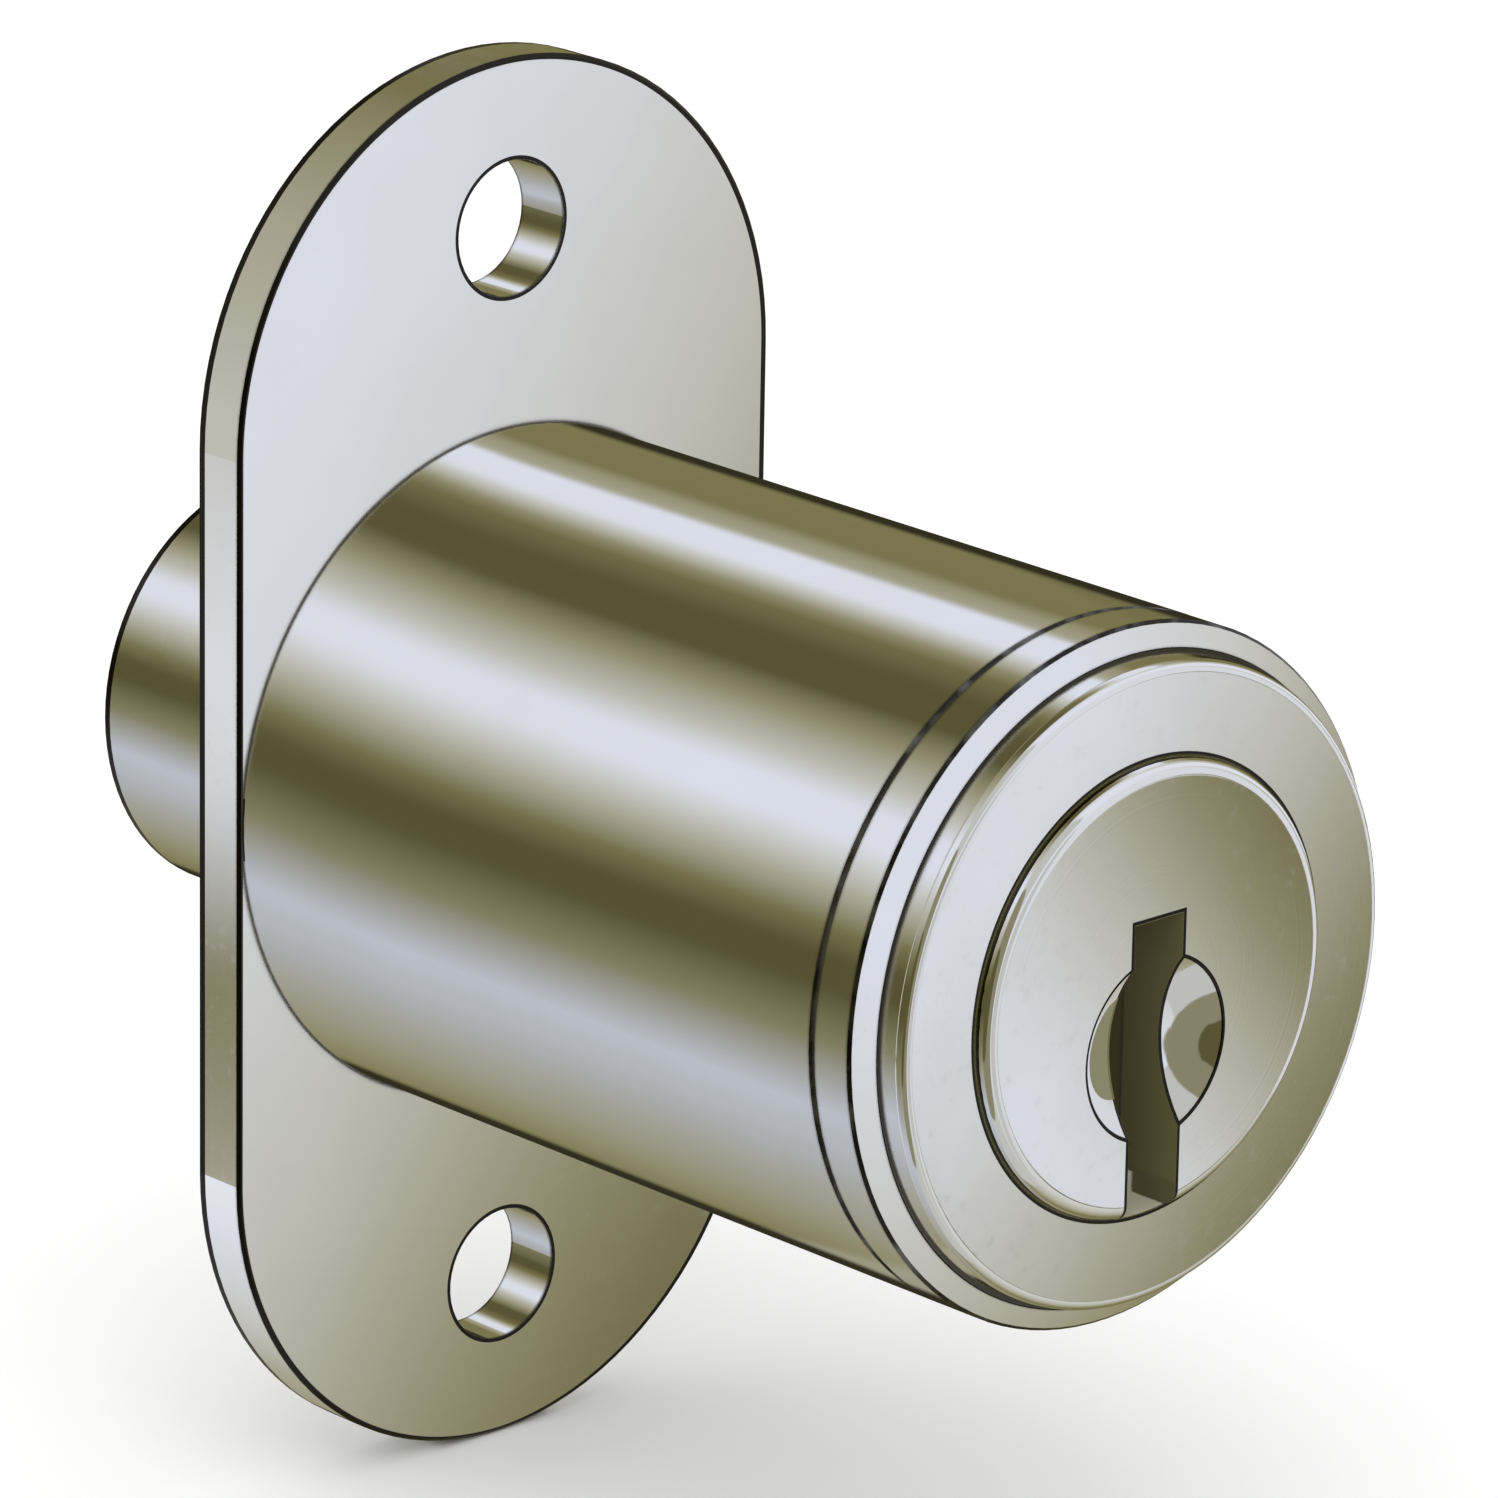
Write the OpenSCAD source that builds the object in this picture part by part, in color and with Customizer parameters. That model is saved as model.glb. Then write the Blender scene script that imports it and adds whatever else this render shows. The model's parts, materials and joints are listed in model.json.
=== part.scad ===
// Plunger lock: a push lock for a sliding door or drawer, shown pushed in.
//
// Everything is drawn in a working frame with X to the right, Y up and Z forward out of the barrel's mouth,
// and is laid down at the end, so that the part's own axes are X to the right, Z up and -Y forward.
// Distances "along" the lock are measured forward from the flange's front face.

/* [Mounting flange] */
// Height of the oval flange
flange_h = 46; // [42:0.5:60]
// Thickness of the flange
flange_t = 2; // [1.5:0.1:4]
// How far the flange's straight sides stand outside the barrel
flange_lip = 0.12; // [0.12:0.01:4]
// Distance between the two screw holes
screw_spacing = 35; // [32:0.5:48]
// Diameter of the screw holes
screw_d = 4.4; // [3.2:0.1:5]
// Size of the broken edges of the flange
flange_edge = 0.1; // [0.05:0.01:0.11]

/* [Barrel] */
// Outer diameter of the barrel
barrel_d = 22; // [19.8:0.2:30]
// Length of the barrel from the flange to the seam of the front collar
barrel_l = 25.9; // [23.3:0.1:40]
// Wall of the wide front part of the bore
front_wall = 0.9; // [0.8:0.05:1.2]
// Wall of the narrow rear part of the bore
rear_wall = 2; // [1.8:0.05:2.2]
// Thickness of the stop wall in front of the catch
stop_wall = 1.5; // [1:0.1:3]

/* [Front collar] */
// Height of the collar's cylindrical side
collar_side = 1.6; // [1.4:0.1:4]
// How much higher the collar's inner edge is than its outer edge
collar_rise = 0.37; // [0.1:0.01:0.8]
// Length of the spigot that carries the collar
spigot_l = 1.3; // [0.8:0.1:1.4]
// Depth of the seam between barrel and collar
seam_break = 0.12; // [0.05:0.01:0.2]
// Broken edge between the collar's side and its face
rim_break = 0.1; // [0.05:0.01:0.2]

/* [Plunger] */
// How far the plunger moves
travel = 10; // [6:0.5:10.5]
// How far the plunger's face stands in front of the collar
plunger_stand = 0.93; // [0.5:0.01:3]
// Rounding of the plunger's front edge
plunger_round = 0.35; // [0.1:0.05:0.8]
// Width of the plunger's ring-shaped face around the core
face_ring_w = 2.85; // [2.6:0.05:3.1]
// Wall of the plunger's rear part
plunger_wall = 1.5; // [1.4:0.05:1.8]
// Depth of the long guide groove in the plunger's rear part
groove_depth = 0.85; // [0.5:0.05:0.9]
// Metal left behind the guide groove
groove_end_wall = 0.8; // [0.5:0.1:2]
// Diameter of the guide pin
guide_pin_d = 1.5; // [1.2:0.1:2]

/* [Bolt] */
// Width of the ring-shaped room that the return spring has around the bolt
spring_room = 2; // [1.8:0.05:2.4]
// How much thinner the bolt's shank is than its free end, on the radius
shank_relief = 0.2; // [0.2:0.05:0.4]
// Chamfer of the bolt's end
bolt_chamfer = 0.4; // [0.1:0.1:1.5]
// Diameter of the cross pin that holds the bolt
bolt_pin_d = 1.6; // [1:0.1:2]
// Metal behind the cross pin
pin_back_wall = 1.2; // [0.8:0.1:2]
// Metal between the cross pin and the catch
pin_front_wall = 1.5; // [0.8:0.1:2]

/* [Key core] */
// How far the core's face disc stands out all round its body
core_step = 0.65; // [0.5:0.05:0.8]
// Thickness of the core's face disc
core_face_t = 1.8; // [1.2:0.1:3]
// How far the core stands in front of the plunger
core_stand = 0.45; // [0.1:0.05:1]
// Rounding of the core's front edge
core_round = 0.5; // [0.1:0.05:0.7]
// Width of the key slot
key_slot_w = 2.06; // [1.6:0.02:2.4]
// Height of the key slot's top above the core's axis
key_slot_top = 2.3; // [1.5:0.1:3.5]
// Radius of the round dimple at the key slot
dimple_r = 2.88; // [2:0.05:3.4]
// Depth of the dimple
dimple_depth = 1.05; // [0.5:0.05:1.4]
// Distance of the dimple's centre below the core's axis
dimple_drop = 1.77; // [0:0.05:2.5]

/* [Wafers] */
// Thickness of a wafer
wafer_t = 1; // [0.8:0.05:1.05]
// Width of a wafer
wafer_w = 5.4; // [4.8:0.1:5.6]
// Distance from wafer to wafer
wafer_pitch = 1.55; // [1.5:0.05:1.8]
// Metal between the front wafer and the core's face disc
core_front_wall = 0.6; // [0.4:0.1:2]
// Metal behind the rear wafer
core_back_wall = 1.5; // [1.2:0.1:4]
// Farthest that a wafer moves out of the core
wafer_travel = 0.6; // [0.3:0.05:0.7]
// Side of the wafer's window beyond the key slot
window_margin = 0.12; // [0.05:0.01:0.3]
// Metal below the deepest wafer window
wafer_foot = 1.5; // [1:0.1:2]

/* [Driver] */
// Thickness of the driver disc
driver_t = 2.1; // [1.9:0.1:3]
// Depth of the cam recess in the driver
cam_depth = 1.1; // [0.6:0.1:1.2]
// Wall of the driver's hub around the screw's head
hub_wall = 0.7; // [0.6:0.05:0.9]
// Metal between the driver's rim and the widest place of the cam
cam_rim = 0.85; // [0.6:0.05:1.05]
// Width across the core's square tail
tail_w = 3.4; // [3:0.1:3.5]
// Diameter of the driver screw's shank
screw_shank_d = 2; // [1.6:0.1:2.4]
// Diameter of the driver screw's head
screw_head_d = 3.4; // [3.2:0.1:3.8]
// Thickness of the driver screw's head
screw_head_t = 0.7; // [0.5:0.1:0.8]
// Thickness of the lock washer under the screw's head
washer_t = 0.3; // [0.2:0.1:0.4]
// Metal left between the screw's tip and the key slot
screw_tip_wall = 0.4; // [0.3:0.1:0.8]
// Length of the screw's crossed tool slots
tool_slot_l = 2.4; // [1.6:0.2:3]
// Width of the screw's crossed tool slots
tool_slot_w = 0.5; // [0.4:0.1:0.8]

/* [Catch] */
// Thickness of the catch, along the lock
catch_t = 2.6; // [2:0.1:3.2]
// Width of the catch
catch_w = 5; // [4:0.1:5.4]
// How far the drawn-back catch lies below the plunger's surface
catch_sink = 0.2; // [0.1:0.05:0.4]
// Diameter of the cam follower
follower_d = 1.4; // [1:0.1:1.6]
// Distance from the lock's axis to the inner end of the catch
catch_inner = 2.9; // [2.6:0.1:3.4]
// Length of the peg that holds the catch spring
peg_l = 1; // [0.5:0.1:1.5]

/* [Springs] */
// Wire of the return spring
return_wire = 1; // [0.6:0.05:1.2]
// Wire of the catch spring
catch_wire = 0.35; // [0.2:0.05:0.5]
// Outer diameter of the catch spring
catch_spring_d = 2.5; // [2.2:0.1:2.7]
// Length of the catch spring
catch_spring_l = 3.5; // [3:0.1:4]
// Wire of the wafer springs
wafer_wire = 0.2; // [0.1:0.01:0.25]
// Outer diameter of the wafer springs
wafer_spring_d = 0.9; // [0.7:0.02:0.94]
// Least gap that a spring keeps between its turns
coil_gap = 0.45; // [0.42:0.01:1]

/* [Clearances] */
// Radial clearance of pieces that turn or slide in one another
run_fit = 0.05; // [0.02:0.01:0.09]
// Radial clearance of pressed pieces
press_fit = 0.02; // [0.01:0.01:0.03]
// Play along the lock
end_play = 0.1; // [0.05:0.01:0.15]

/* [Hidden] */
$fn = 96;
// How far a cutting body runs past the surface that it cuts
past = 0.5;

// Rings a turn in the drawn coils
return_steps = 16;
small_steps = 8;

// Colours of the finishes
nickel = [0.78, 0.78, 0.74];
steel = [0.62, 0.63, 0.65];
spring_steel = [0.5, 0.51, 0.53];
brass = [0.8, 0.66, 0.36];

// Radii, from the barrel's outside inwards
barrel_r = barrel_d / 2;
bore_r = barrel_r - front_wall;
spigot_r = (barrel_r + bore_r) / 2;
plunger_r = bore_r - run_fit;
rear_bore_r = barrel_r - rear_wall;
body_r = rear_bore_r - run_fit;
socket_r = body_r - plunger_wall;
groove_floor_r = body_r - groove_depth;
bolt_r = rear_bore_r - spring_room;
shank_r = bolt_r - shank_relief;
core_face_r = plunger_r - face_ring_w - run_fit;
core_r = core_face_r - core_step;
channel_r = core_r + wafer_travel + 3 * run_fit;
catch_tip_r = body_r - catch_sink;
catch_travel = bore_r - 3 * run_fit - catch_tip_r;
pocket_r = catch_tip_r + catch_travel + 6 * run_fit;
driver_r = socket_r - end_play;
hub_r = screw_head_d / 2 + end_play + hub_wall;
follower_place = driver_r - cam_rim - catch_travel - follower_d / 2 - 2 * run_fit;

// Places along the lock, from the mouth backwards
rim_at = barrel_l + collar_side;
mouth_at = rim_at + collar_rise;
plunger_face_at = mouth_at + plunger_stand;
core_front_at = plunger_face_at + core_stand;
core_seat_at = core_front_at - core_face_t;
wafer_slot = wafer_t + end_play;
front_wafer_at = core_seat_at - core_front_wall - wafer_slot / 2;
wafer_n = 6;
rear_wafer_at = front_wafer_at - (wafer_n - 1) * wafer_pitch;
keyway_back = rear_wafer_at - wafer_slot / 2;
driver_front = keyway_back - core_back_wall;
driver_back = driver_front - driver_t;
socket_end = driver_front + end_play;
plug_front = driver_back - end_play;
catch_front = plug_front - end_play;
catch_back = catch_front - catch_t;
catch_mid = (catch_front + catch_back) / 2;
catch_bed = catch_back - end_play;
bolt_pin_at = catch_bed - pin_front_wall - bolt_pin_d / 2;
plunger_back = bolt_pin_at - bolt_pin_d / 2 - pin_back_wall;
shoulder_at = plug_front + stop_wall;
head_back = shoulder_at + run_fit;
guide_r = guide_pin_d / 2 + run_fit;
groove_back = plunger_back + groove_end_wall + guide_r;
guide_at = groove_back + travel;
bolt_end = flange_t + travel;
shank_back = -flange_t - end_play;

// The core's spring holes, and the lugs on the wafers that close them
spring_hole_r = wafer_spring_d / 2 + 2 * run_fit;
spring_hole_x = wafer_w / 2 + wafer_spring_d / 2 + run_fit;
spring_floor = -1.6;
lug_bottom = 1.5;
lug_h = 0.8;
lug_reach = 0.3;
lug_half = 0.28;

// Screw bed in the core and the driver
screw_head_at = driver_back + end_play;
screw_seat_at = screw_head_at + screw_head_t;
washer_seat_at = screw_seat_at + washer_t;
tail_back = washer_seat_at + end_play;
screw_tip_at = driver_front + core_back_wall - screw_tip_wall;

// The share of the full travel that each wafer makes, front to rear, as a key's cuts would ask
wafer_share = [1, 0.65, 0.85, 0.5, 1, 0.7];

// Lays the working frame down: Z becomes -Y and Y becomes Z.
module lay() {
  rotate([90, 0, 0]) children();
}

// A solid cylinder from one place along the lock to another.
module rod(r, from, to) {
  translate([0, 0, from]) cylinder(r = r, h = to - from);
}

// A disc with a rounded front edge.
module button(r, from, to, edge) {
  rotate_extrude() {
    translate([0, from]) square([r, to - from - edge]);
    translate([0, from]) square([r - edge, to - from]);
    intersection() {
      translate([r - edge, to - edge]) circle(edge);
      translate([r - edge, to - edge]) square(edge);
    }
  }
}

// A block from a to b.
module block(a, b) {
  translate(a) cube(b - a);
}

// A cylinder that stands across the lock, upwards from one height to another.
module upright(r, x, at, from, to) {
  translate([x, from, at]) rotate([-90, 0, 0]) cylinder(r = r, h = to - from);
}

// A cylinder that runs to the right, from one distance to another.
module sideways(r, at, from, to) {
  translate([from, 0, at]) rotate([0, 90, 0]) cylinder(r = r, h = to - from);
}

// Centres of a coil's rings, rising along Z; steps is the number of rings a turn.
function coil_line(r, turns, steps, from, to) = [for (i = [0:turns * steps])
  let (turn = i * 360 / steps, rise = i / (turns * steps))
  [r * cos(turn), r * sin(turn), from + (to - from) * rise]];

// Least gap between a coil's turns, measured between ring centres at least half a turn apart.
function coil_least_gap(line, steps, wire) = min([for (i = [0:len(line) - 1], j = [0:len(line) - 1])
  if (j - i >= steps / 2) norm(line[j] - line[i])]) - wire;

// Whole turns that fit a length with the least gap kept.
function coil_turns(wire, length) = floor((length - wire) / (wire + coil_gap));

// A compression spring that stands on Z = 0: one unbroken tube of six sides.
module coil(outer_d, wire, length, steps) {
  sides = 6;
  turns = coil_turns(wire, length);
  line = coil_line((outer_d - wire) / 2, turns, steps, wire / 2 + press_fit, length - wire / 2 - press_fit);
  last = len(line) - 1;
  points = [for (i = [0:last], k = [0:sides - 1])
    let (turn = i * 360 / steps, a = k * 360 / sides, out = wire / 2 * cos(a))
    line[i] + [out * cos(turn), out * sin(turn), wire / 2 * sin(a)]];
  skin = [for (i = [0:last - 1], k = [0:sides - 1])
    let (a = i * sides + k, b = i * sides + (k + 1) % sides)
    each [[a, a + sides, b], [b, a + sides, b + sides]]];
  end = last * sides;
  caps = [for (k = [1:sides - 2]) each [[0, k, k + 1], [end, end + k + 1, end + k]]];
  echo(coil = outer_d, turns = turns, least_gap = coil_least_gap(line, steps, wire));
  polyhedron(points, concat(skin, caps));
}

// The oval flange: two round ends and a straight middle, with broken edges all round.
module flange() {
  half_w = barrel_r + flange_lip;
  reach = flange_h / 2 - half_w;
  section = [[0, 0], [half_w - flange_edge, 0], [half_w, flange_edge], [half_w, flange_t - flange_edge],
    [half_w - flange_edge, flange_t], [0, flange_t]];
  translate([0, 0, -flange_t]) {
    for (way = [-1, 1]) translate([0, way * reach, 0]) rotate_extrude() polygon(section);
    for (way = [0, 1]) mirror([way, 0, 0])
      translate([0, reach, 0]) rotate([90, 0, 0]) linear_extrude(2 * reach) polygon(section);
  }
}

module housing() {
  root = -flange_t / 2;
  tube = [[rear_bore_r, root], [barrel_r, root], [barrel_r, barrel_l - seam_break],
    [barrel_r - seam_break, barrel_l], [spigot_r, barrel_l], [spigot_r, barrel_l + spigot_l],
    [bore_r, barrel_l + spigot_l], [bore_r, shoulder_at], [rear_bore_r, shoulder_at]];
  color(nickel) lay() difference() {
    union() {
      flange();
      rotate_extrude() polygon(tube);
    }
    rod(bolt_r + 2 * run_fit, -flange_t - past, past);
    for (way = [-1, 1]) translate([0, way * screw_spacing / 2, 0]) rod(screw_d / 2, -flange_t - past, past);
    // pocket of the catch
    intersection() {
      rod(pocket_r, catch_bed - end_play, plug_front);
      block([-catch_w / 2 - 3 * run_fit, -barrel_r, catch_bed - end_play],
        [catch_w / 2 + 3 * run_fit, -rear_bore_r / 2, plug_front]);
    }
    sideways(guide_pin_d / 2 + press_fit, guide_at, bore_r - past, barrel_r + past);
  }
}

module front_collar() {
  bed = spigot_r + press_fit;
  ring = [[bed, barrel_l], [barrel_r - seam_break, barrel_l], [barrel_r, barrel_l + seam_break],
    [barrel_r, rim_at - rim_break], [barrel_r - rim_break, rim_at], [bore_r + rim_break, mouth_at],
    [bore_r, mouth_at - rim_break], [bore_r, barrel_l + spigot_l], [bed, barrel_l + spigot_l]];
  color(nickel) lay() rotate_extrude() polygon(ring);
}

// Pressed through the barrel's wall; its outer end lies just under the barrel's surface.
module guide_pin() {
  color(steel) lay() sideways(guide_pin_d / 2, guide_at, groove_floor_r + 3 * run_fit, barrel_r - end_play);
}

module return_spring() {
  color(spring_steel) lay() coil(bolt_r + rear_bore_r + return_wire, return_wire, plunger_back, return_steps);
}

// A channel beside the core for the ends of the wafers that stand out.
module wafer_channel() {
  half = wafer_w / 2 + 2 * run_fit;
  intersection() {
    rod(channel_r, keyway_back - end_play, core_seat_at - core_front_wall + end_play);
    block([-half, 0, 0], [half, body_r, core_front_at]);
  }
}

module plunger() {
  color(nickel) lay() difference() {
    union() {
      button(plunger_r, head_back, plunger_face_at, plunger_round);
      rod(body_r, plunger_back, head_back + past);
    }
    rod(socket_r, plunger_back - past, socket_end);
    rod(core_r + run_fit, socket_end - past, core_front_at);
    rod(core_face_r + run_fit, core_seat_at - end_play, core_front_at);
    // the wafers stand out upwards at the key's rest, and to the right once it has turned
    wafer_channel();
    rotate([0, 0, -90]) wafer_channel();
    // guide groove with round ends
    block([groove_floor_r, -guide_r, groove_back], [barrel_r, guide_r, guide_at]);
    for (at = [groove_back, guide_at]) sideways(guide_r, at, groove_floor_r, barrel_r);
    // window of the catch
    block([-catch_w / 2 - run_fit, -barrel_r, catch_bed], [catch_w / 2 + run_fit, -socket_r / 2, plug_front]);
    upright(bolt_pin_d / 2 + press_fit, 0, bolt_pin_at, -barrel_r, barrel_r);
  }
}

module bolt() {
  shank_front = plunger_back + end_play;
  end = [[0, -bolt_end], [bolt_r - bolt_chamfer, -bolt_end], [bolt_r, bolt_chamfer - bolt_end],
    [bolt_r, shank_back], [shank_r, shank_back], [shank_r, shank_front], [0, shank_front]];
  color(nickel) lay() difference() {
    union() {
      rotate_extrude() polygon(end);
      rod(socket_r - press_fit, plunger_back, plug_front);
    }
    // bed of the catch and its spring
    block([-catch_w / 2 - run_fit, -barrel_r, catch_bed],
      [catch_w / 2 + run_fit, catch_spring_l - catch_inner, plug_front + past]);
    upright(bolt_pin_d / 2 + press_fit, 0, bolt_pin_at, -barrel_r, barrel_r);
  }
}

module bolt_pin() {
  reach = body_r - 4 * run_fit;
  color(steel) lay() upright(bolt_pin_d / 2, 0, bolt_pin_at, -reach, reach);
}

module core() {
  dimple_ball_r = (pow(dimple_r, 2) + pow(dimple_depth, 2)) / (2 * dimple_depth);
  color(nickel) lay() difference() {
    union() {
      button(core_face_r, core_seat_at, core_front_at, core_round);
      rod(core_r, driver_front, core_seat_at + core_face_t / 2);
      block([-tail_w / 2, -tail_w / 2, tail_back], [tail_w / 2, tail_w / 2, driver_front + past]);
    }
    block([-key_slot_w / 2, -barrel_r, keyway_back], [key_slot_w / 2, key_slot_top, core_front_at + past]);
    translate([0, -dimple_drop, core_front_at - dimple_depth + dimple_ball_r]) sphere(dimple_ball_r);
    half = wafer_w / 2 + run_fit;
    for (i = [0:wafer_n - 1]) {
      at = front_wafer_at - i * wafer_pitch;
      block([-half, -barrel_r, at - wafer_slot / 2], [half, barrel_r, at + wafer_slot / 2]);
      upright(spring_hole_r, spring_hole_x, at, spring_floor, barrel_r);
    }
    rod(screw_shank_d / 2 + press_fit, tail_back - past, screw_tip_at + end_play);
  }
}

// The cam recess: its outer wall is a spiral that lets the follower out evenly as the core turns a quarter.
module cam_recess() {
  quarter = 90;
  over = 14;
  step = 4;
  wall = [for (a = [-over:step:quarter + over])
    let (r = follower_place + catch_travel * a / quarter + follower_d / 2 + 2 * run_fit)
    r * [cos(a - quarter), sin(a - quarter)]];
  floor_line = [for (a = [quarter + over:-step:-over]) hub_r * [cos(a - quarter), sin(a - quarter)]];
  translate([0, 0, driver_back - past]) linear_extrude(cam_depth + past) polygon(concat(wall, floor_line));
}

module core_driver() {
  hole = tail_w / 2 + press_fit;
  color(steel) lay() difference() {
    rod(driver_r, driver_back, driver_front);
    cam_recess();
    rod(screw_head_d / 2 + end_play, driver_back - past, washer_seat_at);
    block([-hole, -hole, driver_back], [hole, hole, driver_front + past]);
  }
}

module driver_screw() {
  color(steel) lay() difference() {
    union() {
      rod(screw_head_d / 2, screw_head_at, screw_seat_at);
      rod(screw_shank_d / 2, screw_seat_at - past, screw_tip_at);
    }
    for (turn = [0, 90]) rotate([0, 0, turn])
      block([-tool_slot_l / 2, -tool_slot_w / 2, screw_head_at - past],
        [tool_slot_l / 2, tool_slot_w / 2, screw_head_at + screw_head_t / 2]);
  }
}

module lock_washer() {
  color(spring_steel) lay() difference() {
    rod(screw_head_d / 2, screw_seat_at, washer_seat_at);
    rod(screw_shank_d / 2 + run_fit, screw_seat_at - past, washer_seat_at + past);
  }
}

module catch() {
  bevel = catch_t / 3;
  follower_end = driver_back + cam_depth - end_play;
  peg_r = catch_spring_d / 2 - catch_wire - 2 * run_fit;
  color(steel) lay() difference() {
    union() {
      intersection() {
        rod(catch_tip_r, catch_back, catch_front);
        block([-catch_w / 2, -barrel_r, catch_back], [catch_w / 2, -catch_inner, catch_front]);
      }
      translate([0, -follower_place, 0]) rod(follower_d / 2, catch_front - past, follower_end);
      upright(peg_r, 0, catch_mid, -catch_inner - past, peg_l - catch_inner);
    }
    // slope behind the tip, which pushes the catch in as the plunger is pushed home
    translate([-catch_w, bevel - catch_tip_r, catch_back]) rotate([135, 0, 0])
      cube([2 * catch_w, catch_t, catch_t]);
  }
}

module catch_spring() {
  color(spring_steel) lay() translate([0, -catch_inner, catch_mid]) rotate([-90, 0, 0])
    coil(catch_spring_d, catch_wire, catch_spring_l, small_steps);
}

// A wafer, flush with the core as when the key holds it; i counts from the front.
module wafer(i) {
  side = key_slot_w / 2 + window_margin;
  low = -core_r + wafer_foot + wafer_travel * (1 - wafer_share[i]);
  high = key_slot_top + window_margin;
  color(brass) lay() translate([0, 0, front_wafer_at - i * wafer_pitch]) difference() {
    union() {
      intersection() {
        rod(core_r - run_fit, -wafer_t / 2, wafer_t / 2);
        block([-wafer_w / 2, -core_r, -wafer_t], [wafer_w / 2, core_r, wafer_t]);
      }
      block([wafer_w / 2 - lug_reach, lug_bottom, -lug_half],
        [spring_hole_x + lug_reach, lug_bottom + lug_h, lug_half]);
    }
    block([-side, low, -wafer_t], [side, high, wafer_t]);
  }
}

module wafer_springs() {
  color(spring_steel) lay() for (i = [0:wafer_n - 1])
    translate([spring_hole_x, spring_floor, front_wafer_at - i * wafer_pitch]) rotate([-90, 0, 0])
      coil(wafer_spring_d, wafer_wire, lug_bottom - spring_floor, small_steps);
}

housing();
front_collar();
guide_pin();
return_spring();
plunger();
bolt();
bolt_pin();
core();
core_driver();
driver_screw();
lock_washer();
catch();
catch_spring();
wafer(0);  // wafer_1
wafer(1);  // wafer_2
wafer(2);  // wafer_3
wafer(3);  // wafer_4
wafer(4);  // wafer_5
wafer(5);  // wafer_6
wafer_springs();
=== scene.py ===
# %% [markdown]
# # A plunger lock in polished nickel
# This lesson dresses a push lock for a sliding door. The exact solids come packed as a fixed frame, already
# in their places and in metres: X runs to the right, Z up along the long flange, and the lock's mouth looks
# towards -Y. Nothing has to be fitted, so the whole lesson is about finishes, light and the camera.

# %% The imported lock
import json
import math
import bpy
from mathutils import Matrix, Vector

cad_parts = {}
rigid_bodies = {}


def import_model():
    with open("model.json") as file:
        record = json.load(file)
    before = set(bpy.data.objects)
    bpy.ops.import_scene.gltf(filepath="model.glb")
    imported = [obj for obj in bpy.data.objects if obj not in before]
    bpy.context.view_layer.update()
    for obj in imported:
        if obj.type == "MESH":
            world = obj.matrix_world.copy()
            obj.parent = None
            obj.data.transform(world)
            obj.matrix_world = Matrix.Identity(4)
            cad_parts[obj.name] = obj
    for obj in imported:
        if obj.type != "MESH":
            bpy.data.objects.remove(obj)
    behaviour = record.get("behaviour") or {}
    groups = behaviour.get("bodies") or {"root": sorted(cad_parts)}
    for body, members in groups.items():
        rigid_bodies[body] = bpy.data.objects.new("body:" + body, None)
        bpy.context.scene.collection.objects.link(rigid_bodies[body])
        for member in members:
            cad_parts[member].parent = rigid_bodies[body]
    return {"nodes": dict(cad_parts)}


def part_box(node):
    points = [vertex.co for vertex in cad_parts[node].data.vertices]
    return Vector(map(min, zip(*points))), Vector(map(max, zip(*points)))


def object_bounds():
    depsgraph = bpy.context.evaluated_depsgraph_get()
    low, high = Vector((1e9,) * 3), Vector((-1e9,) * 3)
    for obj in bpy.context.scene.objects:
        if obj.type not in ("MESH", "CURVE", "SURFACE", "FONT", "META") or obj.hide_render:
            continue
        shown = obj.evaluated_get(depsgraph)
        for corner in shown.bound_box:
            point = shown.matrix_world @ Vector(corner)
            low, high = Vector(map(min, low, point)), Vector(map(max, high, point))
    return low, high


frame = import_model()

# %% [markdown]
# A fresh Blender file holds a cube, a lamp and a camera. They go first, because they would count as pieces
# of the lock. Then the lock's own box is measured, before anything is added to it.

MM = 0.001
parts = frame["nodes"]
for thing in list(bpy.data.objects):
    if thing.name in ("Cube", "Light", "Camera"):
        bpy.data.objects.remove(thing)
bpy.context.view_layer.update()
cad_box = [list(corner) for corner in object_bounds()]
print("pieces:", len(parts), "box in mm:", [[round(v / MM, 2) for v in corner] for corner in cad_box])

# %% [markdown]
# The picture is a long, narrow view of a small object, so the camera stands about 31 cm away and has a long
# lens. Its stand is written as a photographer would give it: how far it has turned from looking along +Y,
# how far it looks down, how much it leans, and where the middle of the flange lies in the picture.

# %% Camera
TURN, DOWN, LEAN = 0.7539, 0.3124, 0.0176
FLANGE_IN_VIEW = Vector((-7.732, -0.343, -312.09)) * MM
LENS, SENSOR = 235.38, 36
NEAREST, FURTHEST = 0.01, 10.0

forward = Vector((math.sin(TURN) * math.cos(DOWN), math.cos(TURN) * math.cos(DOWN), -math.sin(DOWN)))
level = forward.cross(Vector((0, 0, 1))).normalized()
upright = level.cross(forward)
right = level * math.cos(LEAN) + upright * math.sin(LEAN)
up = upright * math.cos(LEAN) - level * math.sin(LEAN)
stand = Matrix((right, up, -forward)).transposed()

eye = bpy.data.objects.new("photo_camera", bpy.data.cameras.new("photo_camera"))
bpy.context.scene.collection.objects.link(eye)
eye.data.lens, eye.data.sensor_width, eye.data.sensor_fit = LENS, SENSOR, "HORIZONTAL"
eye.data.clip_start, eye.data.clip_end = NEAREST, FURTHEST
eye.matrix_world = Matrix.Translation(-(stand @ FLANGE_IN_VIEW)) @ stand.to_4x4()
bpy.context.scene.camera = eye
print("camera at", [round(v / MM) for v in eye.location], "mm")

# %% [markdown]
# The lock stands on a plain pale floor, which it touches with the flange's lower end. A floor of one big
# sheet keeps the background even. It is left out of the reflections: polished metal shows the room, and the
# room is drawn by the world further down, where its strips can be placed one by one.

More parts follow.
